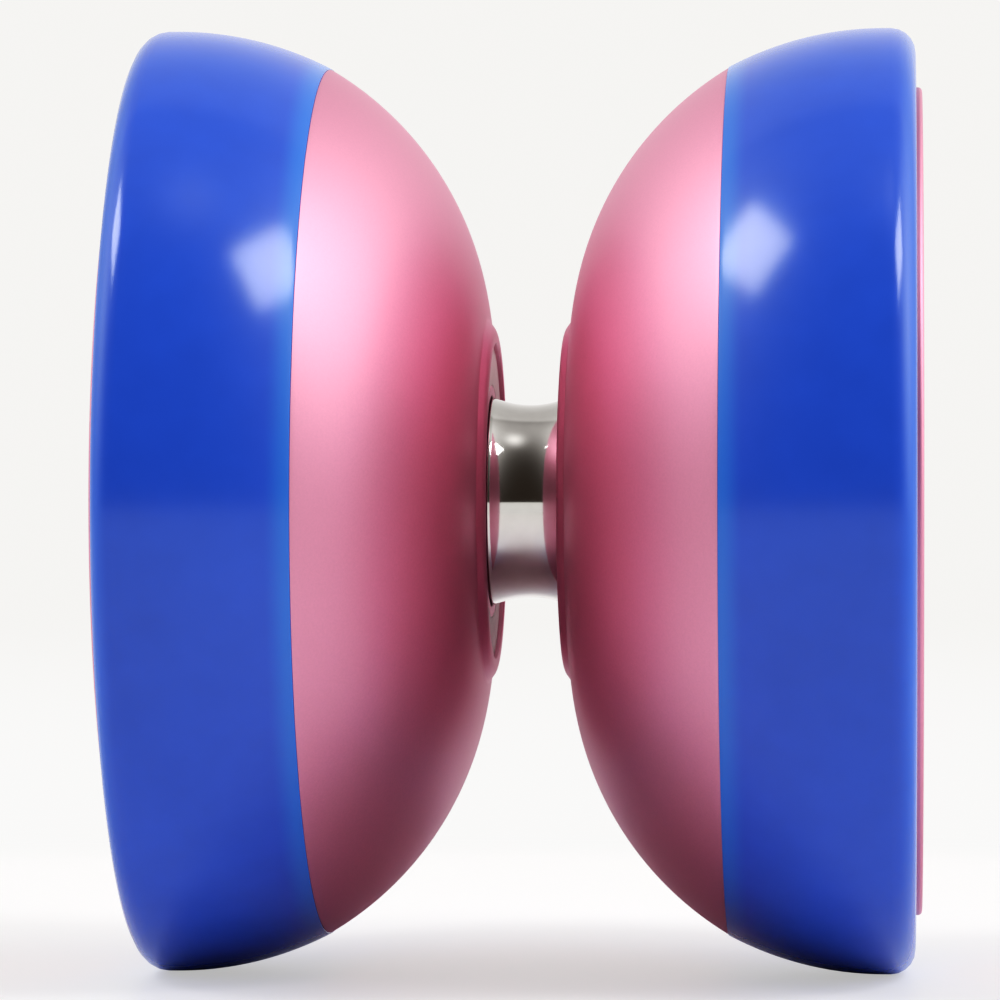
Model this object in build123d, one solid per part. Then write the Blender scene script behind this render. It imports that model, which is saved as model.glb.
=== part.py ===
from build123d import *
from math import hypot, radians, sqrt, tan
import os

# A wide yo-yo with two aluminium halves, a plastic ring pressed over each rim,
# and a size C ball bearing between them, screwed together on one threaded axle.
#
# Frame: X runs along the axle, Z is up, and the origin is the middle of the bearing.
# Everything is turned about X, so each piece is a section of (x, radius) points,
# drawn on the +X side. All sizes are in millimetres.

# Overall sizes
yoyo_diameter = 57.6        # over the rim rings
yoyo_width = 47.8           # over the two aluminium lips

# Rim ring and the seat it is pressed on
ring_width = 11.3
ring_drop = 2.35            # how far the ring's outer face falls from its crest to the body
ring_edge_height = 1.25     # thickness of the ring where it meets the body
ring_step = 0.05            # the ring stands this proud of the body at the joint
ring_crest_inset = 2.0      # from the crest of the ring to its side face
ring_corner_radius = 1.5
ring_edge_radius = 0.15
lip_height = 0.4            # the aluminium lip stands this proud of the ring's side face

# Half body
dome_bulge = 2.19           # height of the dome's arc over its chord
dome_wall = 2.0
rim_wall = 1.5
cup_floor_depth = 5.2       # from the middle of the yo-yo to the floor of the cup
cup_fillet = 1.5
hub_radius = 5.5
hub_edge_radius = 1.0
hub_end_wall = 1.4          # metal left past the drill point
edge_break = 0.1
lip_radius = 0.25

# Boss around the bearing
string_gap = 4.2            # between the lips of the two bosses
boss_lip_width = 0.78
boss_flank_width = 0.7      # radial width of the boss's sloping side
boss_flank_height = 0.52
boss_lip_radius = 1.0
boss_foot_radius = 0.5
pad_width = 2.58
pad_thickness = 1.0
pad_recess = 0.27           # the pad lies this far below the lip
pad_edge_radius = 0.12
inner_wall = 0.64           # metal between the pad and the bearing recess

# Seat of the bearing in each half
recess_clearance = 0.1      # around the outer race
recess_depth = 0.57
seat_clearance = 0.01       # between the post and the bore of the inner race
post_length = 1.48
post_chamfer = 0.2
shoulder_width = 0.83       # ring that bears on the end of the inner race

# Ball bearing: 1/4 inch bore, 1/2 inch outside, 3/16 inch wide
bearing_bore = 6.35
bearing_diameter = 12.7
bearing_width = 4.7625
ball_diameter = 1.5875
ball_count = 8
ball_clearance = 0.02
race_groove_relief = 0.036  # the grooves' radius over that of the balls
race_shoulder_gap = 0.88    # radial gap between the shoulders of the two races
race_edge_radius = 0.12
outer_race_land = 0.15      # straight edge each side of the concave face
outer_race_dip = 0.45       # depth of the concave face
shield_seat_wall = 0.49
shield_seat_depth = 0.68    # from the end of the race to the ledge of the shield
snap_ring_lip_width = 0.23  # metal outside the snap ring's groove
snap_ring_lip_height = 0.16
shield_thickness = 0.2
shield_clearance = 0.02
shield_bore_clearance = 0.12
inner_race_step = 0.22
inner_race_step_width = 0.78
snap_ring_width = 0.24
snap_ring_height = 0.39
snap_ring_gap_angle = 22.0  # degrees
retainer_thickness = 0.66
retainer_back = 1.2
retainer_front = 0.45
pocket_clearance = 0.07

# Axle: M4 grub screw
axle_diameter = 4.0
axle_length = 14.0
axle_clearance = 0.03
axle_end_gap = 0.6
axle_chamfer = 0.45
thread_pitch = 0.7
thread_depth = 0.379
thread_crest = 0.0875
hex_across_flats = 2.0
hex_depth = 2.0
drill_point_angle = 118.0   # degrees

# Places worked out from the sizes above: x is from the middle, r from the axle
half_width = yoyo_width / 2
rim_r = yoyo_diameter / 2
ring_face_x = half_width - lip_height
joint_x = ring_face_x - ring_width
joint_r = rim_r - ring_drop
ring_seat_r = joint_r - ring_edge_height
cup_r = ring_seat_r - rim_wall

race_end_x = bearing_width / 2
race_r = bearing_diameter / 2
race_bore_r = bearing_bore / 2
ball_r = ball_diameter / 2
track_section_r = ball_r + race_groove_relief
pitch_r = (race_r + race_bore_r) / 2
outer_shoulder_r = pitch_r + race_shoulder_gap / 2
inner_shoulder_r = pitch_r - race_shoulder_gap / 2
shield_seat_r = race_r - shield_seat_wall
shield_ledge_x = race_end_x - shield_seat_depth
snap_ring_lip_r = shield_seat_r - snap_ring_lip_height
shield_r = snap_ring_lip_r - shield_clearance
inner_step_r = inner_shoulder_r - inner_race_step

boss_lip_x = string_gap / 2
pad_face_x = boss_lip_x + pad_recess
pad_floor_x = pad_face_x + pad_thickness
recess_r = race_r + recess_clearance
recess_floor_x = race_end_x + recess_depth
pad_inner_r = recess_r + inner_wall
pad_outer_r = pad_inner_r + pad_width
boss_edge_r = pad_outer_r + boss_lip_width
boss_foot_x = boss_lip_x + boss_flank_height
boss_foot_r = boss_edge_r + boss_flank_width

post_r = race_bore_r - seat_clearance
post_end_x = race_end_x - post_length
shoulder_r = post_r + shoulder_width
axle_hole_r = axle_diameter / 2 + axle_clearance
hole_end_x = axle_length / 2 + axle_end_gap
drill_tip_x = hole_end_x + axle_hole_r / tan(radians(drill_point_angle / 2))
hub_end_x = drill_tip_x + hub_end_wall


def turned(section, angle=360):
    """Turn a section about the axle."""
    return revolve(section, Axis.X, angle)


def rounded(section, corners):
    """Round the corners of a section, given as (x, r, radius)."""
    for x, r, radius in corners:
        corner = section.vertices().sort_by_distance((x, r, 0))[0]
        section = fillet(corner, radius)
    return section


def bulged_arc(start, end, bulge):
    """Centre and radius of the arc that rises by bulge over a chord, to the left of its direction."""
    chord_x, chord_r = end[0] - start[0], end[1] - start[1]
    chord = hypot(chord_x, chord_r)
    radius = (chord ** 2 / 4 + bulge ** 2) / (2 * bulge)
    reach = (radius - bulge) / chord
    centre_x = (start[0] + end[0]) / 2 + chord_r * reach
    centre_r = (start[1] + end[1]) / 2 - chord_x * reach
    return centre_x, centre_r, radius


def arc_between(start, end, centre_x, centre_r, radius):
    """The short arc between two points of a circle."""
    middle_x = (start[0] + end[0]) / 2 - centre_x
    middle_r = (start[1] + end[1]) / 2 - centre_r
    reach = radius / hypot(middle_x, middle_r)
    middle = (centre_x + middle_x * reach, centre_r + middle_r * reach)
    return ThreePointArc(start, middle, end)


def half_body():
    """Aluminium half: dome, boss with pad groove and bearing seat, cup, hub and ring seat."""
    boss_foot = (boss_foot_x, boss_foot_r)
    joint = (joint_x, joint_r)
    centre_x, centre_r, dome_radius = bulged_arc(boss_foot, joint, dome_bulge)
    cup_radius = dome_radius - dome_wall
    cup_edge = (centre_x - sqrt(cup_radius ** 2 - (cup_r - centre_r) ** 2), cup_r)
    cup_foot = (cup_floor_depth, centre_r + sqrt(cup_radius ** 2 - (centre_x - cup_floor_depth) ** 2))

    seat_side = Polyline(
        (drill_tip_x, 0),
        (hole_end_x, axle_hole_r),
        (post_end_x, axle_hole_r),
        (post_end_x, post_r - post_chamfer),
        (post_end_x + post_chamfer, post_r),
        (race_end_x, post_r),
        (race_end_x, shoulder_r),
        (recess_floor_x, shoulder_r),
        (recess_floor_x, recess_r),
        (pad_face_x, recess_r),
        (pad_face_x, pad_inner_r),
        (pad_floor_x, pad_inner_r),
        (pad_floor_x, pad_outer_r),
        (boss_lip_x, pad_outer_r),
        (boss_lip_x, boss_edge_r),
        boss_foot,
    )
    dome = arc_between(boss_foot, joint, centre_x, centre_r, dome_radius)
    rim_side = Polyline(
        joint,
        (joint_x, ring_seat_r),
        (half_width, ring_seat_r),
        (half_width, cup_r),
        cup_edge,
    )
    cup = arc_between(cup_edge, cup_foot, centre_x, centre_r, cup_radius)
    hub_side = Polyline(
        cup_foot,
        (cup_floor_depth, hub_radius),
        (hub_end_x, hub_radius),
        (hub_end_x, 0),
        (drill_tip_x, 0),
    )
    section = make_face(seat_side + dome + rim_side + cup + hub_side)
    section = rounded(section, [
        (recess_floor_x, shoulder_r, edge_break),
        (recess_floor_x, recess_r, edge_break),
        (pad_face_x, recess_r, edge_break),
        (pad_face_x, pad_inner_r, edge_break),
        (boss_lip_x, pad_outer_r, edge_break),
        (boss_lip_x, boss_edge_r, boss_lip_radius),
        (*boss_foot, boss_foot_radius),
        (*joint, edge_break),
        (half_width, ring_seat_r, lip_radius),
        (half_width, cup_r, lip_radius),
        (*cup_edge, cup_fillet),
        (*cup_foot, cup_fillet),
        (cup_floor_depth, hub_radius, cup_fillet),
        (hub_end_x, hub_radius, hub_edge_radius),
    ])
    return turned(section)


def rim_ring():
    """Plastic ring with a convex outer face that carries on from the dome."""
    crest_x = ring_face_x - ring_crest_inset
    start = (joint_x, joint_r + ring_step)
    rise = rim_r - start[1]
    face_radius = ((crest_x - joint_x) ** 2 + rise ** 2) / (2 * rise)
    face = arc_between(start, (crest_x, rim_r), crest_x, rim_r - face_radius, face_radius)
    sides = Polyline(
        (crest_x, rim_r),
        (ring_face_x, rim_r),
        (ring_face_x, ring_seat_r),
        (joint_x, ring_seat_r),
        start,
    )
    section = rounded(make_face(face + sides), [
        (*start, ring_edge_radius),
        (ring_face_x, rim_r, ring_corner_radius),
        (ring_face_x, ring_seat_r, ring_edge_radius),
        (joint_x, ring_seat_r, ring_edge_radius),
    ])
    return turned(section)


def response_pad():
    """Silicone washer that fills the groove of the boss."""
    outline = Polyline(
        (pad_floor_x, pad_inner_r),
        (pad_face_x, pad_inner_r),
        (pad_face_x, pad_outer_r),
        (pad_floor_x, pad_outer_r),
        close=True,
    )
    section = rounded(make_face(outline), [
        (pad_face_x, pad_inner_r, pad_edge_radius),
        (pad_face_x, pad_outer_r, pad_edge_radius),
    ])
    return turned(section)


def ball_track(track_r):
    """Ring-shaped tool that cuts a race's groove."""
    return turned(Pos(0, track_r) * Circle(track_section_r))


def outer_race():
    """Race that carries the string, with a concave face and a shield seat at each end."""
    land_x = race_end_x - outer_race_land
    lip_x = race_end_x - snap_ring_lip_width
    string_face = SagittaArc((-land_x, race_r), (land_x, race_r), -outer_race_dip)
    sides = Polyline(
        (land_x, race_r),
        (race_end_x, race_r),
        (race_end_x, snap_ring_lip_r),
        (lip_x, snap_ring_lip_r),
        (lip_x, shield_seat_r),
        (shield_ledge_x, shield_seat_r),
        (shield_ledge_x, outer_shoulder_r),
        (-shield_ledge_x, outer_shoulder_r),
        (-shield_ledge_x, shield_seat_r),
        (-lip_x, shield_seat_r),
        (-lip_x, snap_ring_lip_r),
        (-race_end_x, snap_ring_lip_r),
        (-race_end_x, race_r),
        (-land_x, race_r),
    )
    section = rounded(make_face(string_face + sides), [
        (race_end_x, race_r, race_edge_radius),
        (-race_end_x, race_r, race_edge_radius),
    ])
    return turned(section) - ball_track(pitch_r + ball_clearance - race_groove_relief)


def inner_race():
    """Race that the two halves clamp, stepped down at each end for the shields."""
    step_x = race_end_x - inner_race_step_width
    outline = Polyline(
        (-race_end_x, race_bore_r),
        (race_end_x, race_bore_r),
        (race_end_x, inner_step_r),
        (step_x, inner_step_r),
        (step_x, inner_shoulder_r),
        (-step_x, inner_shoulder_r),
        (-step_x, inner_step_r),
        (-race_end_x, inner_step_r),
        close=True,
    )
    return turned(make_face(outline)) - ball_track(pitch_r - ball_clearance + race_groove_relief)


def ball_places():
    """Places of the balls, evenly spaced round the axle, with none on the Y axis."""
    step = 360 / ball_count
    return [Rot(X=step * (number + 0.5)) * Pos(Y=pitch_r) for number in range(ball_count)]


def retainer():
    """Crown cage: a ring with a pocket that snaps over each ball."""
    crown = turned(make_face(Polyline(
        (-retainer_back, pitch_r - retainer_thickness / 2),
        (retainer_front, pitch_r - retainer_thickness / 2),
        (retainer_front, pitch_r + retainer_thickness / 2),
        (-retainer_back, pitch_r + retainer_thickness / 2),
        close=True,
    )))
    pocket = Rot(X=90) * Sphere(ball_r + pocket_clearance)
    return crown - [place * pocket for place in ball_places()]


def bearing_shield():
    """Thin washer on the ledge of the outer race."""
    return turned(make_face(Polyline(
        (shield_ledge_x, inner_step_r + shield_bore_clearance),
        (shield_ledge_x + shield_thickness, inner_step_r + shield_bore_clearance),
        (shield_ledge_x + shield_thickness, shield_r),
        (shield_ledge_x, shield_r),
        close=True,
    )))


def snap_ring():
    """Split ring that holds the shield in the outer race."""
    back_x = shield_ledge_x + shield_thickness
    section = make_face(Polyline(
        (back_x, shield_seat_r - snap_ring_height),
        (back_x + snap_ring_width, shield_seat_r - snap_ring_height),
        (back_x + snap_ring_width, shield_seat_r),
        (back_x, shield_seat_r),
        close=True,
    ))
    return turned(section, 360 - snap_ring_gap_angle)


def axle_screw():
    """Threaded stud with a hex socket in one end; the thread is a row of rings."""
    crest_r = axle_diameter / 2
    root_r = crest_r - thread_depth
    flank = thread_depth * tan(radians(30))
    end_x = axle_length / 2
    thread_end = end_x - axle_chamfer - thread_pitch / 2
    grooves = int(2 * thread_end / thread_pitch)
    outline = [(-end_x, 0), (-end_x, crest_r - axle_chamfer), (-end_x + axle_chamfer, crest_r)]
    first_x = -(grooves - 1) * thread_pitch / 2
    for groove in range(grooves):
        middle_x = first_x + groove * thread_pitch
        mouth = (thread_pitch - thread_crest) / 2
        outline += [
            (middle_x - mouth, crest_r),
            (middle_x - mouth + flank, root_r),
            (middle_x + mouth - flank, root_r),
            (middle_x + mouth, crest_r),
        ]
    outline += [(end_x - axle_chamfer, crest_r), (end_x, crest_r - axle_chamfer), (end_x, 0)]
    stud = turned(make_face(Polyline(*outline, close=True)))
    hexagon = RegularPolygon(hex_across_flats / 2, 6, major_radius=False)
    socket = extrude(Plane.YZ.offset(end_x) * hexagon, -hex_depth)
    return stud - socket


def save(part, node):
    export_step(part, f"parts/{node}.step")


os.makedirs("parts", exist_ok=True)

mirrored_pieces = {
    "half_body": half_body(),
    "rim_ring": rim_ring(),
    "response_pad": response_pad(),
    "bearing_shield": bearing_shield(),
    "snap_ring": snap_ring(),
}
for name, piece in mirrored_pieces.items():
    save(piece, f"right_{name}")
    save(mirror(piece, Plane.YZ), f"left_{name}")

save(axle_screw(), "axle_screw")
save(outer_race(), "bearing_outer_race")
save(inner_race(), "bearing_inner_race")
save(retainer(), "bearing_retainer")
for number, place in enumerate(ball_places(), start=1):
    save(place * Sphere(ball_r), f"bearing_ball_{number}")
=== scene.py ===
from math import atan2, hypot, pi, radians, sqrt, tan
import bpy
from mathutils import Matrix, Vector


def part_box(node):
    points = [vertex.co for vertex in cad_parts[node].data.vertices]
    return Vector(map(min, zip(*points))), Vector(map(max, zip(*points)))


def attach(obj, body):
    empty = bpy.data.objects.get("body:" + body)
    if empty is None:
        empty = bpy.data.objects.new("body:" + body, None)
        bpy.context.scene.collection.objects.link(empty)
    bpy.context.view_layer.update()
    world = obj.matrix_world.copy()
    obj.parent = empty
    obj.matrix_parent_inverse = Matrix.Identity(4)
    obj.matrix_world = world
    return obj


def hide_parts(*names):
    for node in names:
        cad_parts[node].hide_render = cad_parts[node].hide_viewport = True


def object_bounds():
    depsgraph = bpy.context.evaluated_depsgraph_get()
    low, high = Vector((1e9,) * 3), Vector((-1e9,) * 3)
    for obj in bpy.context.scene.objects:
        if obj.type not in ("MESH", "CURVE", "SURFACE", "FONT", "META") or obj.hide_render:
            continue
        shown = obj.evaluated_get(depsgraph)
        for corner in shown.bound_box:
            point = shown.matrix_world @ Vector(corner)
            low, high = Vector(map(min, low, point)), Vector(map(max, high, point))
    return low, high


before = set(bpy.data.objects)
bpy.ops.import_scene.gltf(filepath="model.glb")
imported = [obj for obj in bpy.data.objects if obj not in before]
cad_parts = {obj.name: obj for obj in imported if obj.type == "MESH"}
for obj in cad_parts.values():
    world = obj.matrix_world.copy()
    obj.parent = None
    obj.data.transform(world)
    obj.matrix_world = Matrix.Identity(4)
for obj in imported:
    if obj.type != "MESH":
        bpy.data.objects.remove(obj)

from types import SimpleNamespace

import bmesh
import bpy
from bpy.props import FloatProperty, FloatVectorProperty, IntProperty, PointerProperty
from mathutils import Vector

bl_info = {
    "name": "Bearing yo-yo",
    "version": (1, 0, 0),
    "blender": (4, 5, 0),
    "location": "3D View > Sidebar > Yo-yo",
    "description": "Turns the finished pieces of a wide bearing yo-yo around its CAD frame",
    "category": "Object",
}

MM = 0.001
SIDES = {"left": -1, "right": 1}
CAD_BOX = [list(corner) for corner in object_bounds()]
DRILL_POINT_ANGLE = 118
SHARP_ANGLE = 35


# ---------------------------------------------------------------- sizes

def cad_box(node):
    """A CAD node's lowest and highest corner, in millimetres."""
    low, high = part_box(node)
    return low / MM, high / MM


def length(name, description, millimetres):
    """A length that a user may change, stored in metres."""
    return FloatProperty(
        name=name, description=description, default=millimetres * MM, unit="LENGTH", precision=5)


def colour(name, description, value):
    """A colour that a user may change."""
    return FloatVectorProperty(
        name=name, description=description, default=value, size=3, subtype="COLOR", min=0, max=1)


class YoyoSizes(bpy.types.PropertyGroup):
    """Sizes of the turned sections that the frame's boxes don't give."""

    turn_steps: IntProperty(
        name="Turn steps", description="Facets round each turned piece", default=256, min=24)
    ring_drop: length("Ring drop", "From the ring's crest down to the dome", 2.35)
    ring_edge_height: length("Ring edge", "Thickness of the ring where it meets the dome", 1.25)
    ring_step: length("Ring step", "How far the ring stands proud of the dome", 0.05)
    ring_crest_inset: length("Crest inset", "From the ring's crest to its side face", 2.0)
    ring_corner: length("Ring corner", "Radius of the ring's outer corner", 1.5)
    ring_edge: length("Ring edge radius", "Radius of the ring's small edges", 0.15)
    dome_bulge: length("Dome bulge", "Height of the dome's arc over its chord", 2.19)
    dome_wall: length("Dome wall", "Thickness of the dome", 2.0)
    rim_wall: length("Rim wall", "Thickness of the aluminium under the ring", 1.5)
    lip_edge: length("Lip edge", "Radius of the lip's edges", 0.25)
    edge_break: length("Edge break", "Radius of the small machined edges", 0.1)
    cup_floor: length("Cup floor", "From the yo-yo's middle to the floor of the cup", 5.2)
    cup_fillet: length("Cup fillet", "Radius inside the cup", 1.5)
    hub_radius: length("Hub radius", "Radius of the hub in the cup", 5.5)
    hub_edge: length("Hub edge", "Radius of the hub's edge", 1.0)
    hub_end_wall: length("Hub end wall", "Metal past the drill point of the axle's hole", 1.4)
    boss_lip_width: length("Boss lip", "Width of the boss's lip", 0.78)
    boss_flank_width: length("Boss flank", "Radial width of the boss's sloping side", 0.7)
    boss_flank_height: length("Boss flank height", "Height of the boss's sloping side", 0.52)
    boss_lip_round: length("Boss round", "Radius of the lip's outer edge", 1.0)
    boss_foot_round: length("Boss foot", "Radius where the boss meets the dome", 0.5)
    pad_recess: length("Pad recess", "How far the pad lies below the lip", 0.27)
    pad_edge: length("Pad edge", "Radius of the pad's edges", 0.12)
    inner_wall: length("Inner wall", "Metal between the pad and the bearing", 0.64)
    recess_gap: length("Recess gap", "Gap round the bearing's outer race", 0.1)
    recess_depth: length("Recess depth", "Depth of the recess past the bearing's end", 0.57)
    seat_gap: length("Seat gap", "Gap between the post and the inner race", 0.01)
    shoulder_width: length("Shoulder", "Width of the ring that bears on the inner race", 0.83)
    axle_gap: length("Axle gap", "Gap round the axle", 0.03)
    axle_end_gap: length("Axle end gap", "Gap past the axle's end", 0.6)
    race_land: length("Race land", "Straight edge each side of the concave face", 0.15)
    race_dip: length("Race dip", "Depth of the concave face", 0.45)
    race_edge: length("Race edge", "Radius of the races' edges", 0.12)
    race_shoulder_gap: length("Race gap", "Radial gap between the races' shoulders", 0.88)
    race_groove: length("Ball groove", "Radius of the ball grooves", 0.83)
    ball_gap: length("Ball gap", "Gap between a ball and its groove", 0.02)
    inner_step: length("Inner race step", "Drop at each end of the inner race", 0.22)
    inner_step_width: length("Inner step width", "Width of that step", 0.78)
    snap_lip_height: length("Snap ring lip", "Height of the lip that holds the snap ring", 0.16)


class YoyoColours(bpy.types.PropertyGroup):
    """Colours of the finishes, as linear values."""

    rose: colour("Rose", "Anodised aluminium", (0.75, 0.350, 0.468))
    blue: colour("Blue", "Plastic of the rim rings", (0.030, 0.108, 0.61))
    # painted highlight: the paler blue that is laid along the ring's joint edge and near its side face
    blue_highlight: colour("Highlight blue", "Painted highlight along the joint and near the side face", (0.034, 0.200, 0.70))
    silicone: colour("Silicone", "Response pads", (0.80, 0.72, 0.70))
    steel: colour("Steel", "Polished bearing steel", (0.66, 0.64, 0.61))
    retainer: colour("Retainer", "Pressed retainer", (0.60, 0.50, 0.36))
    axle: colour("Axle", "Stainless axle", (0.52, 0.52, 0.53))
    backdrop: colour("Backdrop", "Studio white", (0.913, 0.905, 0.888))


# ---------------------------------------------------------------- materials

# millimetres from the joint over which the painted highlight along the ring's joint edge fades out
JOINT_HIGHLIGHT = (0.15, 1.5)
# millimetres over which a painted highlight turns the ring pale again before its side face
SIDE_HIGHLIGHT = 1.2


class Wire:
    """A node's output. Python's operators on it add Math nodes."""

    def __init__(self, nodes, socket):
        self.nodes = nodes
        self.socket = socket

    def math(self, operation, *values):
        return self.nodes.add("ShaderNodeMath", dict(enumerate(values)), operation=operation)

    def __add__(self, other):
        return self.math("ADD", self, other)

    def __radd__(self, other):
        return self.math("ADD", other, self)

    def __sub__(self, other):
        return self.math("SUBTRACT", self, other)

    def __rsub__(self, other):
        return self.math("SUBTRACT", other, self)

    def __mul__(self, other):
        return self.math("MULTIPLY", self, other)

    def __rmul__(self, other):
        return self.math("MULTIPLY", other, self)

    def __truediv__(self, other):
        return self.math("DIVIDE", self, other)

    def __pow__(self, other):
        return self.math("POWER", self, other)


class Nodes:
    """A node tree that is built from expressions."""

    def __init__(self, tree):
        self.tree = tree
        tree.nodes.clear()

    def add(self, kind, inputs=None, output=0, **settings):
        """Add a node: its settings first, then the values or links of its sockets."""
        node = self.tree.nodes.new(kind)
        for name, value in settings.items():
            setattr(node, name, value)
        for key, value in (inputs or {}).items():
            if isinstance(value, Wire):
                self.tree.links.new(value.socket, node.inputs[key])
            else:
                node.inputs[key].default_value = value
        return Wire(self, node.outputs[output] if node.outputs else None)

    def place(self):
        """The surface point's x, y and z on the object, in millimetres."""
        where = self.add("ShaderNodeTexCoord", output="Object")
        axes = [self.add("ShaderNodeSeparateXYZ", {0: where}, output=axis) for axis in range(3)]
        return [axis / MM for axis in axes]

    def point(self, x, y, z):
        """A vector from three numbers or wires."""
        return self.add("ShaderNodeCombineXYZ", {0: x, 1: y, 2: z})

    def dot(self, where, direction):
        """The dot product of a vector and a fixed direction."""
        return self.add(
            "ShaderNodeVectorMath", {0: where, 1: direction}, output="Value", operation="DOT_PRODUCT")

    def noise(self, where, scale, detail=2.0, roughness=0.5):
        """Smooth noise from 0 to 1, with scale features to a millimetre."""
        return self.add("ShaderNodeTexNoise", {
            "Vector": where, "Scale": scale, "Detail": detail, "Roughness": roughness})

    def ramp(self, value, low, high):
        """0 below low, 1 above high, and smooth between."""
        return self.add("ShaderNodeMapRange", {
            "Value": value, "From Min": low, "From Max": high}, interpolation_type="SMOOTHSTEP")

    def mix(self, share, first, second, blend="MIX"):
        """One colour mixed into another."""
        return self.add(
            "ShaderNodeMix", {0: share, 6: padded(first), 7: padded(second)}, output=2,
            data_type="RGBA", blend_type=blend)

    def bump(self, height, distance, strength=1.0):
        """A normal from a height of 0 to 1, which stands for distance in metres."""
        return self.add("ShaderNodeBump", {"Height": height, "Distance": distance, "Strength": strength})

    def surface(self, **inputs):
        """The Principled shader on the material's output; socket names are written with underscores."""
        sockets = {name.replace("_", " "): padded(value) for name, value in inputs.items()}
        shader = self.add("ShaderNodeBsdfPrincipled", sockets)
        self.add("ShaderNodeOutputMaterial", {"Surface": shader})


def padded(value):
    """A colour with its alpha, where value is a plain colour."""
    is_colour = not isinstance(value, Wire) and hasattr(value, "__len__") and len(value) == 3
    return (*value, 1) if is_colour else value


def scaled(value, factor):
    """A plain colour made lighter or darker."""
    return tuple(min(1, channel * factor) for channel in value)


def new_material(name):
    """An empty material and its node tree."""
    material = bpy.data.materials.new(name)
    material.use_nodes = True
    return material, Nodes(material.node_tree)


def rose_aluminium(colours):
    """Bead-blasted aluminium under a rose anodic film."""
    material, nodes = new_material("rose_anodised_aluminium")
    x, y, z = nodes.place()
    where = nodes.point(x, y, z)
    grain = nodes.noise(where, 7.5, detail=3, roughness=0.65)
    cloud = nodes.noise(where, 0.16, detail=2)
    tone = nodes.mix(grain, scaled(colours.rose, 0.90), scaled(colours.rose, 1.10))
    colour_now = nodes.mix(cloud * 0.25, tone, scaled(colours.rose, 0.93))
    nodes.surface(
        Base_Color=colour_now, Metallic=1.0,
        Roughness=0.47 + grain * 0.08 + cloud * 0.03,
        Coat_Weight=0.08, Coat_Roughness=0.20, Coat_IOR=1.5,
        Normal=nodes.bump(grain, 0.006 * MM, 0.35))
    return material


def blue_plastic(colours, joint_x, side_x):
    """Glossy blue plastic, with a painted highlight of paler blue along its edge at the joint and near
    its side face.
    """
    material, nodes = new_material("blue_rim_plastic")
    x, y, z = nodes.place()
    where = nodes.point(x, y, z)
    from_joint = x.math("ABSOLUTE", x) - joint_x
    # painted highlight: paler blue along the edge where the ring meets the dome
    joint_highlight_share = 1 - nodes.ramp(from_joint, *JOINT_HIGHLIGHT)
    cloud = nodes.noise(where, 0.35, detail=2)
    speck = nodes.noise(where, 5.0, detail=2)
    body = nodes.mix(cloud, scaled(colours.blue, 0.92), scaled(colours.blue, 1.06))
    width = side_x - joint_x
    # painted highlight: paler blue just before the side face, where the corner catches the lamps
    side_highlight_share = nodes.ramp(from_joint, width - SIDE_HIGHLIGHT, width)
    body = nodes.mix(side_highlight_share * 0.35, body, colours.blue_highlight)
    nodes.surface(
        Base_Color=nodes.mix(joint_highlight_share * 0.8, body, colours.blue_highlight),
        Roughness=0.15 + speck * 0.05,
        IOR=1.54,
        Normal=nodes.bump(speck, 0.002 * MM, 0.25))
    return material


def silicone_pad(colours):
    """Off-white silicone with a faint moulded texture."""
    material, nodes = new_material("response_silicone")
    x, y, z = nodes.place()
    where = nodes.point(x, y, z)
    skin = nodes.noise(where, 3.0, detail=3)
    cloud = nodes.noise(where, 0.5)
    nodes.surface(
        Base_Color=nodes.mix(cloud, scaled(colours.silicone, 0.94), scaled(colours.silicone, 1.03)),
        Roughness=0.48 + skin * 0.12,
        IOR=1.43,
        Normal=nodes.bump(skin, 0.01 * MM, 0.4))
    return material


def turned_steel(name, tint, roughness, lines, depth):
    """Steel with turning or polishing lines round the axle: how many to a millimetre, how deep."""
    material, nodes = new_material(name)
    x, y, z = nodes.place()
    radius = (y * y + z * z) ** 0.5
    round_lines = nodes.noise(nodes.point(x * lines, radius * lines, 0.0), 1.0, detail=3)
    smear = nodes.noise(nodes.point(x, y, z), 1.3)
    nodes.surface(
        Base_Color=nodes.mix(smear, scaled(tint, 0.93), scaled(tint, 1.04)), Metallic=1.0,
        Roughness=roughness + round_lines * roughness * 0.5 + smear * 0.02,
        Normal=nodes.bump(round_lines, depth * MM, 0.5))
    return material


def bearing_steels(colours):
    """The steels of the bearing, by the word in a node's name that they belong to."""
    return {
        "race": turned_steel("polished_race_steel", colours.steel, 0.05, 14, 0.0006),
        "ball_": turned_steel("ball_steel", scaled(colours.steel, 1.08), 0.03, 2, 0.0001),
        "shield": turned_steel("brushed_shield_steel", scaled(colours.steel, 0.95), 0.24, 22, 0.003),
        "snap_ring": turned_steel("spring_steel", scaled(colours.steel, 0.62), 0.30, 9, 0.002),
        "retainer": turned_steel("retainer_metal", colours.retainer, 0.28, 11, 0.003),
    }


def studio_floor(colours):
    """A white satin floor that fades into the plain backdrop around the yo-yo."""
    material, nodes = new_material("studio_floor")
    x, y, z = nodes.place()
    radius = (x * x + y * y) ** 0.5
    grain = nodes.noise(nodes.point(x, y, z), 0.8, detail=2)
    paper = nodes.add("ShaderNodeBsdfPrincipled", {
        "Base Color": nodes.mix(grain, *FLOOR_PAPER),
        "Roughness": 0.42 + grain * 0.04,
        "IOR": 1.5})
    distant = nodes.ramp(radius, *FLOOR_DISTANCE)
    glow = nodes.add("ShaderNodeEmission", {
        "Color": nodes.mix(distant, FLOOR_WHITE, colours.backdrop), "Strength": 1.0})
    away = nodes.ramp(radius, *FLOOR_FADE)
    # for the camera, a share of the paper is swapped for glowing white: painted light that lifts the
    # floor's shadows
    seen = nodes.add("ShaderNodeLightPath", output="Is Camera Ray")
    share = away.math("MAXIMUM", away, seen * FLOOR_LIFT)
    shader = nodes.add("ShaderNodeMixShader", {0: share, 1: paper, 2: glow})
    nodes.add("ShaderNodeOutputMaterial", {"Surface": shader})
    return material


# ---------------------------------------------------------------- turning

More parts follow.
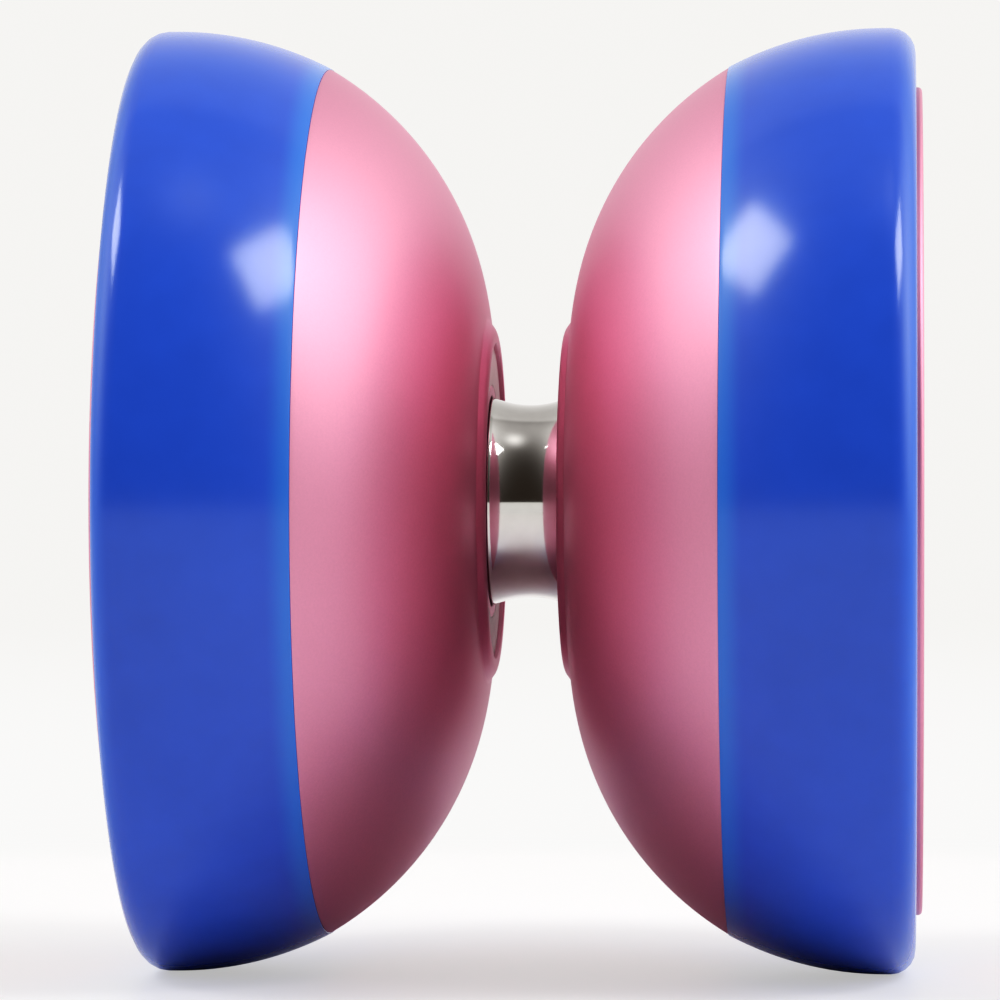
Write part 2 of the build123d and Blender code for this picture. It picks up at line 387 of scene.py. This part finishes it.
class Section:
    """The outline of a turned piece, drawn in millimetres as (x along the axle, radius)."""

    def __init__(self, x, r, corner=0.0):
        self.mesh = bmesh.new()
        self.first = self.tip = self.mesh.verts.new((x, 0, r))
        self.corners = [(self.tip, corner)]

    def to(self, x, r, corner=0.0):
        """Go straight to a point; corner is the radius that rounds it."""
        made = bmesh.ops.extrude_vert_indiv(self.mesh, verts=[self.tip])
        self.tip = made["verts"][0]
        self.tip.co = (x, 0, r)
        self.corners.append((self.tip, corner))

    def arc(self, x, r, centre, steps, corner=0.0):
        """Go round a centre to a point, the short way."""
        start = atan2(self.tip.co.z - centre[1], self.tip.co.x - centre[0])
        end = atan2(r - centre[1], x - centre[0])
        turn = (start - end + pi) % (2 * pi) - pi
        made = bmesh.ops.spin(
            self.mesh, geom=[self.tip], cent=(centre[0], 0, centre[1]), axis=(0, 1, 0),
            angle=turn, steps=steps)
        self.tip = next(item for item in made["geom_last"] if isinstance(item, bmesh.types.BMVert))
        self.tip.co = (x, 0, r)
        self.corners.append((self.tip, corner))

    def close(self):
        """Join the last point to the first."""
        self.mesh.edges.new((self.tip, self.first))
        return self

    def round_corners(self, segments=5):
        """Bevel each corner that has a radius."""
        for vert, radius in self.corners:
            if radius:
                before, after = (edge.other_vert(vert).co - vert.co for edge in vert.link_edges)
                turn = pi - before.angle(after)
                bmesh.ops.bevel(
                    self.mesh, geom=[vert], offset=radius * tan(turn / 2), offset_type="OFFSET",
                    affect="VERTICES", segments=segments, profile=0.5, material=-1)

    def spin(self, steps):
        """Turn the outline once about the axle."""
        self.round_corners()
        bmesh.ops.spin(
            self.mesh, geom=self.mesh.verts[:] + self.mesh.edges[:], cent=(0, 0, 0),
            axis=(1, 0, 0), angle=2 * pi, steps=steps, use_merge=True)
        bmesh.ops.remove_doubles(self.mesh, verts=self.mesh.verts[:], dist=1e-5)
        return self.mesh


def add_piece(name, mesh, side=1):
    """Make an object in metres from a bmesh in millimetres, mirrored if side is -1."""
    bmesh.ops.scale(mesh, vec=(MM * side, MM, MM), verts=mesh.verts[:])
    bmesh.ops.recalc_face_normals(mesh, faces=mesh.faces[:])
    data = bpy.data.meshes.new(name)
    mesh.to_mesh(data)
    mesh.free()
    data.shade_smooth()
    data.set_sharp_from_angle(angle=radians(SHARP_ANGLE))
    piece = bpy.data.objects.new(name, data)
    bpy.context.scene.collection.objects.link(piece)
    weighted = piece.modifiers.new("even_shading", "WEIGHTED_NORMAL")
    weighted.keep_sharp = True
    return piece


def fit_to_frame(piece, body, node, material):
    """Let a finished piece ride on its body in place of its CAD node."""
    piece.data.materials.append(material)
    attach(piece, body)
    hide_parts(node)


def arc_centre(start, end, bulge):
    """Centre and radius of the arc that rises by bulge over a chord, to the left of its direction."""
    along_x, along_r = end[0] - start[0], end[1] - start[1]
    chord = hypot(along_x, along_r)
    radius = (chord ** 2 / 4 + bulge ** 2) / (2 * bulge)
    reach = (radius - bulge) / chord
    centre = ((start[0] + end[0]) / 2 + along_r * reach, (start[1] + end[1]) / 2 - along_x * reach)
    return centre, radius


def measures():
    """Every size in millimetres: the user's, the frame's, and what follows from both."""
    sizes = bpy.context.scene.yoyo_sizes
    names = [name for name in sizes.__annotations__ if name != "turn_steps"]
    m = SimpleNamespace(steps=sizes.turn_steps, **{name: getattr(sizes, name) / MM for name in names})

    ring_low, ring_high = cad_box("right_rim_ring")
    body_low, body_high = cad_box("right_half_body")
    pad_low, pad_high = cad_box("right_response_pad")
    race_high = cad_box("bearing_outer_race")[1]
    axle_high = cad_box("axle_screw")[1]
    shield_low = cad_box("right_bearing_shield")[0]
    snap_high = cad_box("right_snap_ring")[1]
    ball_low, ball_high = cad_box("bearing_ball_1")

    m.joint_x, m.ring_face_x, m.rim_r = ring_low.x, ring_high.x, ring_high.z
    m.post_end_x, m.lip_x = body_low.x, body_high.x
    m.pad_face_x, m.pad_floor_x, m.pad_outer_r = pad_low.x, pad_high.x, pad_high.z
    m.race_end_x, m.race_r = race_high.x, race_high.z
    m.axle_end_x, m.axle_r = axle_high.x, axle_high.z
    m.shield_ledge_x = shield_low.x
    m.snap_face_x, m.snap_r = snap_high.x, snap_high.z
    m.ball_r = (ball_high.x - ball_low.x) / 2

    m.joint_r = m.rim_r - m.ring_drop
    m.seat_r = m.joint_r - m.ring_edge_height
    m.cup_r = m.seat_r - m.rim_wall
    m.recess_r = m.race_r + m.recess_gap
    m.recess_floor_x = m.race_end_x + m.recess_depth
    m.pad_inner_r = m.recess_r + m.inner_wall
    m.boss_lip_x = m.pad_face_x - m.pad_recess
    m.boss_edge_r = m.pad_outer_r + m.boss_lip_width
    m.boss_foot = (m.boss_lip_x + m.boss_flank_height, m.boss_edge_r + m.boss_flank_width)
    m.race_bore_r = cad_bore(m)
    m.pitch_r = (m.race_r + m.race_bore_r) / 2
    m.post_r = m.race_bore_r - m.seat_gap
    m.shoulder_r = m.post_r + m.shoulder_width
    m.hole_r = m.axle_r + m.axle_gap
    m.hole_end_x = m.axle_end_x + m.axle_end_gap
    m.drill_tip_x = m.hole_end_x + m.hole_r / tan(radians(DRILL_POINT_ANGLE / 2))
    m.hub_end_x = m.drill_tip_x + m.hub_end_wall
    return m


def cad_bore(m):
    """The radius of the inner race's bore, from its outer radius."""
    inner_high = cad_box("bearing_inner_race")[1]
    return 2 * (inner_high.z + m.race_shoulder_gap / 2) - m.race_r


# ---------------------------------------------------------------- pieces

def half_body(m):
    """Dome, boss with its pad groove and bearing seat, rim, cup and hub."""
    joint = (m.joint_x, m.joint_r)
    centre, dome_radius = arc_centre(m.boss_foot, joint, m.dome_bulge)
    cup_radius = dome_radius - m.dome_wall
    cup_edge_x = centre[0] - sqrt(cup_radius ** 2 - (m.cup_r - centre[1]) ** 2)
    cup_foot_r = centre[1] + sqrt(cup_radius ** 2 - (centre[0] - m.cup_floor) ** 2)
    section = Section(m.drill_tip_x, 0)
    section.to(m.hole_end_x, m.hole_r)
    section.to(m.post_end_x, m.hole_r, m.edge_break)
    section.to(m.post_end_x, m.post_r, 2 * m.edge_break)
    section.to(m.race_end_x, m.post_r)
    section.to(m.race_end_x, m.shoulder_r, m.edge_break)
    section.to(m.recess_floor_x, m.shoulder_r, m.edge_break)
    section.to(m.recess_floor_x, m.recess_r, m.edge_break)
    section.to(m.pad_face_x, m.recess_r, m.edge_break)
    section.to(m.pad_face_x, m.pad_inner_r, m.edge_break)
    section.to(m.pad_floor_x, m.pad_inner_r)
    section.to(m.pad_floor_x, m.pad_outer_r)
    section.to(m.boss_lip_x, m.pad_outer_r, m.edge_break)
    section.to(m.boss_lip_x, m.boss_edge_r, m.boss_lip_round)
    section.to(*m.boss_foot, m.boss_foot_round)
    section.arc(*joint, centre, steps=46, corner=m.edge_break / 4)
    section.to(m.joint_x, m.seat_r)
    section.to(m.lip_x, m.seat_r, m.lip_edge)
    section.to(m.lip_x, m.cup_r, m.lip_edge)
    section.to(cup_edge_x, m.cup_r, m.cup_fillet)
    section.arc(m.cup_floor, cup_foot_r, centre, steps=22, corner=m.cup_fillet)
    section.to(m.cup_floor, m.hub_radius, m.cup_fillet)
    section.to(m.hub_end_x, m.hub_radius, m.hub_edge)
    section.to(m.hub_end_x, 0)
    return section.close().spin(m.steps)


def rim_ring(m):
    """Convex plastic ring that carries on from the dome and turns a round corner to its side."""
    start_r = m.joint_r + m.ring_step
    crest_x = m.ring_face_x - m.ring_crest_inset
    rise = m.rim_r - start_r
    face_radius = ((crest_x - m.joint_x) ** 2 + rise ** 2) / (2 * rise)
    section = Section(m.joint_x, m.seat_r, m.ring_edge)
    section.to(m.joint_x, start_r, m.ring_edge / 8)
    section.arc(crest_x, m.rim_r, (crest_x, m.rim_r - face_radius), steps=28)
    section.to(m.ring_face_x, m.rim_r, m.ring_corner)
    section.to(m.ring_face_x, m.seat_r, m.ring_edge)
    return section.close().spin(m.steps)


def response_pad(m):
    """Washer that fills the groove of the boss."""
    section = Section(m.pad_floor_x, m.pad_inner_r)
    section.to(m.pad_face_x, m.pad_inner_r, m.pad_edge)
    section.to(m.pad_face_x, m.pad_outer_r, m.pad_edge)
    section.to(m.pad_floor_x, m.pad_outer_r)
    return section.close().spin(m.steps)


def outer_race(m):
    """Race with a concave face for the string and a shield seat at each end."""
    land_x = m.race_end_x - m.race_land
    centre, _ = arc_centre((land_x, m.race_r), (-land_x, m.race_r), m.race_dip)
    seat_lip_r = m.snap_r - m.snap_lip_height
    shoulder_r = m.pitch_r + m.race_shoulder_gap / 2
    groove_r = m.pitch_r + m.ball_r + m.ball_gap - m.race_groove
    groove_x = sqrt(m.race_groove ** 2 - (shoulder_r - groove_r) ** 2)
    section = Section(land_x, m.race_r)
    section.to(m.race_end_x, m.race_r, m.race_edge)
    section.to(m.race_end_x, seat_lip_r, m.race_edge / 2)
    section.to(m.snap_face_x, seat_lip_r)
    section.to(m.snap_face_x, m.snap_r)
    section.to(m.shield_ledge_x, m.snap_r)
    section.to(m.shield_ledge_x, shoulder_r)
    section.to(groove_x, shoulder_r)
    section.arc(-groove_x, shoulder_r, (0, groove_r), steps=16)
    section.to(-m.shield_ledge_x, shoulder_r)
    section.to(-m.shield_ledge_x, m.snap_r)
    section.to(-m.snap_face_x, m.snap_r)
    section.to(-m.snap_face_x, seat_lip_r)
    section.to(-m.race_end_x, seat_lip_r, m.race_edge / 2)
    section.to(-m.race_end_x, m.race_r, m.race_edge)
    section.to(-land_x, m.race_r)
    section.arc(land_x, m.race_r, centre, steps=24)
    bmesh.ops.remove_doubles(section.mesh, verts=[section.first, section.tip], dist=1e-4)
    return section.spin(m.steps)


def inner_race(m):
    """Race that the halves clamp, stepped down at each end for the shields."""
    shoulder_r = m.pitch_r - m.race_shoulder_gap / 2
    step_x = m.race_end_x - m.inner_step_width
    groove_r = m.pitch_r - m.ball_r - m.ball_gap + m.race_groove
    groove_x = sqrt(m.race_groove ** 2 - (groove_r - shoulder_r) ** 2)
    section = Section(m.race_end_x, m.race_bore_r, m.race_edge)
    section.to(m.race_end_x, shoulder_r - m.inner_step, m.race_edge / 2)
    section.to(step_x, shoulder_r - m.inner_step)
    section.to(step_x, shoulder_r, m.race_edge / 2)
    section.to(groove_x, shoulder_r)
    section.arc(-groove_x, shoulder_r, (0, groove_r), steps=16)
    section.to(-step_x, shoulder_r, m.race_edge / 2)
    section.to(-step_x, shoulder_r - m.inner_step)
    section.to(-m.race_end_x, shoulder_r - m.inner_step, m.race_edge / 2)
    section.to(-m.race_end_x, m.race_bore_r, m.race_edge)
    return section.close().spin(m.steps)


def add_both(make, name, node, material, m):
    """Add a piece for the right half and its mirror image for the left."""
    for side, sign in SIDES.items():
        piece = add_piece(f"{side}_{name}", make(m), sign)
        fit_to_frame(piece, f"{side}_half", f"{side}_{node}", material)


class YOYO_OT_half_bodies(bpy.types.Operator):
    """Turn the two aluminium halves"""

    bl_idname = "yoyo.half_bodies"
    bl_label = "Half bodies"

    def execute(self, context):
        material = rose_aluminium(context.scene.yoyo_colours)
        add_both(
            half_body, "turned_half", "half_body", material, measures())
        return {"FINISHED"}


class YOYO_OT_rim_rings(bpy.types.Operator):
    """Turn the two plastic rim rings"""

    bl_idname = "yoyo.rim_rings"
    bl_label = "Rim rings"

    def execute(self, context):
        m = measures()
        material = blue_plastic(context.scene.yoyo_colours, m.joint_x, m.ring_face_x)
        add_both(rim_ring, "gloss_ring", "rim_ring", material, m)
        return {"FINISHED"}


class YOYO_OT_response_pads(bpy.types.Operator):
    """Mould the two response pads"""

    bl_idname = "yoyo.response_pads"
    bl_label = "Response pads"

    def execute(self, context):
        material = silicone_pad(context.scene.yoyo_colours)
        add_both(
            response_pad, "silicone_pad", "response_pad", material, measures())
        return {"FINISHED"}


class YOYO_OT_bearing(bpy.types.Operator):
    """Turn the bearing's races and finish the pieces inside it"""

    bl_idname = "yoyo.bearing"
    bl_label = "Bearing"

    def execute(self, context):
        m = measures()
        steels = bearing_steels(context.scene.yoyo_colours)
        outer = add_piece("concave_race", outer_race(m))
        fit_to_frame(outer, "string_bearing", "bearing_outer_race", steels["race"])
        inner = add_piece("clamped_race", inner_race(m))
        fit_to_frame(inner, "left_half", "bearing_inner_race", steels["race"])
        for node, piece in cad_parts.items():
            for word in ("ball_", "shield", "snap_ring", "retainer"):
                if word in node:
                    piece.data.materials[0] = steels[word]
        return {"FINISHED"}


class YOYO_OT_axle(bpy.types.Operator):
    """Finish the axle's steel"""

    bl_idname = "yoyo.axle"
    bl_label = "Axle"

    def execute(self, context):
        steel = turned_steel("axle_steel", context.scene.yoyo_colours.axle, 0.22, 16, 0.002)
        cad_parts["axle_screw"].data.materials[0] = steel
        return {"FINISHED"}


class YOYO_OT_stage(bpy.types.Operator):
    """Lay the floor and set the lights and the camera"""

    bl_idname = "yoyo.stage"
    bl_label = "Stage"

    def execute(self, context):
        colours = context.scene.yoyo_colours
        floor_z = CAD_BOX[0][2]
        lay_floor(colours, floor_z)
        light_world(colours)
        for name, direction in LAMPS.items():
            hang_lamp(name, direction)
        place_camera()
        set_contrast(context.scene.view_settings)
        return {"FINISHED"}


# ---------------------------------------------------------------- stage

FLOOR_REACH = 1.2
# the paper's two tones, and the plain white that it fades into
FLOOR_PAPER = ((0.82, 0.81, 0.81), (0.85, 0.84, 0.84))
FLOOR_WHITE = (0.950, 0.945, 0.938)
# distances from the yo-yo, in millimetres, over which paper fades to white and white to backdrop
FLOOR_FADE = (85, 140)
FLOOR_DISTANCE = (150, 1100)
# share of plain white that softens the paper's shadows
FLOOR_LIFT = 0.50
ROOM = (0.055, 0.044, 0.036)
# the pale wall behind: the y of a direction where it begins, and where it is full
WALL_EDGE = (0.30, 0.40)
# its strength at its edge, and what it gains towards its middle
WALL_GLOW = (0.22, 0.70)
CAMERA_PLACE = (0.02185, -0.358, 0.0)
CAMERA_AIM = (-0.06636, 1.0, 0.0002)
LENS = 210.6
# scene levels and the levels that they are shown at
CONTRAST = ((0.03, 0.012), (0.13, 0.082), (0.25, 0.205), (0.50, 0.49), (0.90, 0.905))
LAMPS = {
    "right_lamp": (0.52, -0.33, 0.785),
    "left_lamp": (-0.56, -0.22, 0.795),
}
LAMP_DISTANCE = 0.75
LAMP_SIZE = (0.26, 0.21)
LAMP_WATTS = 1.55
# direction, how fast it fades with angle, strength
SOFT_LIGHTS = [
    ((-1.0, 0.0, 0.50), 8.0, 1.5),
    ((-1.0, 0.0, 0.90), 12.0, 1.0),
    ((1.0, 0.0, 0.50), 8.0, 2.8),
    ((1.0, 0.0, 0.90), 12.0, 0.7),
    ((0.0, 0.1, 1.00), 9.0, 0.40),
    ((0.13, -0.20, 0.97), 90.0, 0.9),
]


def set_contrast(view):
    """Standard colours with the slightly deeper shadows of a camera's picture."""
    view.view_transform = "Standard"
    view.use_curve_mapping = True
    curve = view.curve_mapping.curves[3]
    for level, shown in CONTRAST:
        curve.points.new(level, shown)
    view.curve_mapping.update()


def lay_floor(colours, floor_z):
    """A wide disc at the foot of the rims."""
    mesh = bmesh.new()
    bmesh.ops.create_circle(mesh, cap_ends=True, segments=96, radius=FLOOR_REACH)
    bmesh.ops.translate(mesh, vec=(0, 0, floor_z), verts=mesh.verts[:])
    data = bpy.data.meshes.new("floor")
    mesh.to_mesh(data)
    mesh.free()
    floor = bpy.data.objects.new("floor", data)
    floor.data.materials.append(studio_floor(colours))
    bpy.context.scene.collection.objects.link(floor)


def light_world(colours):
    """A dim room with broad soft lights, in front of a plain white backdrop."""
    world = bpy.data.worlds.new("studio")
    world.use_nodes = True
    bpy.context.scene.world = world
    nodes = Nodes(world.node_tree)
    ray = nodes.add("ShaderNodeTexCoord", output="Generated")
    behind = nodes.dot(ray, (0, 1, 0))
    glow = nodes.ramp(behind, *WALL_EDGE) * (WALL_GLOW[0] + behind * behind * WALL_GLOW[1])
    for direction, falloff, strength in SOFT_LIGHTS:
        nearness = nodes.dot(ray, Vector(direction).normalized())
        glow = glow + strength * nearness.math("EXPONENT", (nearness - 1) * falloff)
    room = nodes.add("ShaderNodeBackground", {
        "Color": nodes.mix(1.0, ROOM, nodes.point(glow, glow, glow), blend="ADD"), "Strength": 1.0})
    backdrop = nodes.add("ShaderNodeBackground", {"Color": padded(colours.backdrop), "Strength": 1.0})
    seen = nodes.add("ShaderNodeLightPath", output="Is Camera Ray")
    shader = nodes.add("ShaderNodeMixShader", {0: seen, 1: room, 2: backdrop})
    nodes.add("ShaderNodeOutputWorld", {"Surface": shader})


def hang_lamp(name, direction):
    """An area lamp that faces the yo-yo."""
    data = bpy.data.lights.new(name, "AREA")
    data.shape = "RECTANGLE"
    data.size, data.size_y = LAMP_SIZE
    data.energy = LAMP_WATTS
    lamp = bpy.data.objects.new(name, data)
    place = Vector(direction).normalized() * LAMP_DISTANCE
    lamp.location = place
    lamp.rotation_mode = "QUATERNION"
    lamp.rotation_quaternion = place.to_track_quat("Z", "Y")
    bpy.context.scene.collection.objects.link(lamp)


def place_camera():
    """A long lens level with the axle, a little right of the middle."""
    data = bpy.data.cameras.new("camera")
    data.sensor_width = 36
    data.lens = LENS
    camera = bpy.data.objects.new("camera", data)
    camera.location = CAMERA_PLACE
    camera.rotation_mode = "QUATERNION"
    camera.rotation_quaternion = Vector(CAMERA_AIM).to_track_quat("-Z", "Y")
    bpy.context.scene.collection.objects.link(camera)
    bpy.context.scene.camera = camera


# ---------------------------------------------------------------- add-on

class YOYO_PT_panel(bpy.types.Panel):
    """The yo-yo's pieces"""

    bl_idname = "YOYO_PT_panel"
    bl_label = "Yo-yo"
    bl_space_type = "VIEW_3D"
    bl_region_type = "UI"
    bl_category = "Yo-yo"

    def draw(self, context):
        for operator in OPERATORS:
            self.layout.operator(operator.bl_idname)
        for group in (context.scene.yoyo_sizes, context.scene.yoyo_colours):
            for name in group.__annotations__:
                self.layout.prop(group, name)


OPERATORS = (
    YOYO_OT_stage,
    YOYO_OT_half_bodies,
    YOYO_OT_rim_rings,
    YOYO_OT_response_pads,
    YOYO_OT_bearing,
    YOYO_OT_axle,
)
CLASSES = (YoyoSizes, YoyoColours, *OPERATORS, YOYO_PT_panel)


def register():
    for cls in CLASSES:
        bpy.utils.register_class(cls)
    bpy.types.Scene.yoyo_sizes = PointerProperty(type=YoyoSizes)
    bpy.types.Scene.yoyo_colours = PointerProperty(type=YoyoColours)


def unregister():
    del bpy.types.Scene.yoyo_colours
    del bpy.types.Scene.yoyo_sizes
    for cls in reversed(CLASSES):
        bpy.utils.unregister_class(cls)


def main():
    """Make every piece."""
    register()
    bpy.ops.yoyo.stage()
    bpy.ops.yoyo.half_bodies()
    bpy.ops.yoyo.rim_rings()
    bpy.ops.yoyo.response_pads()
    bpy.ops.yoyo.bearing()
    bpy.ops.yoyo.axle()


if __name__ == "__main__":
    main()
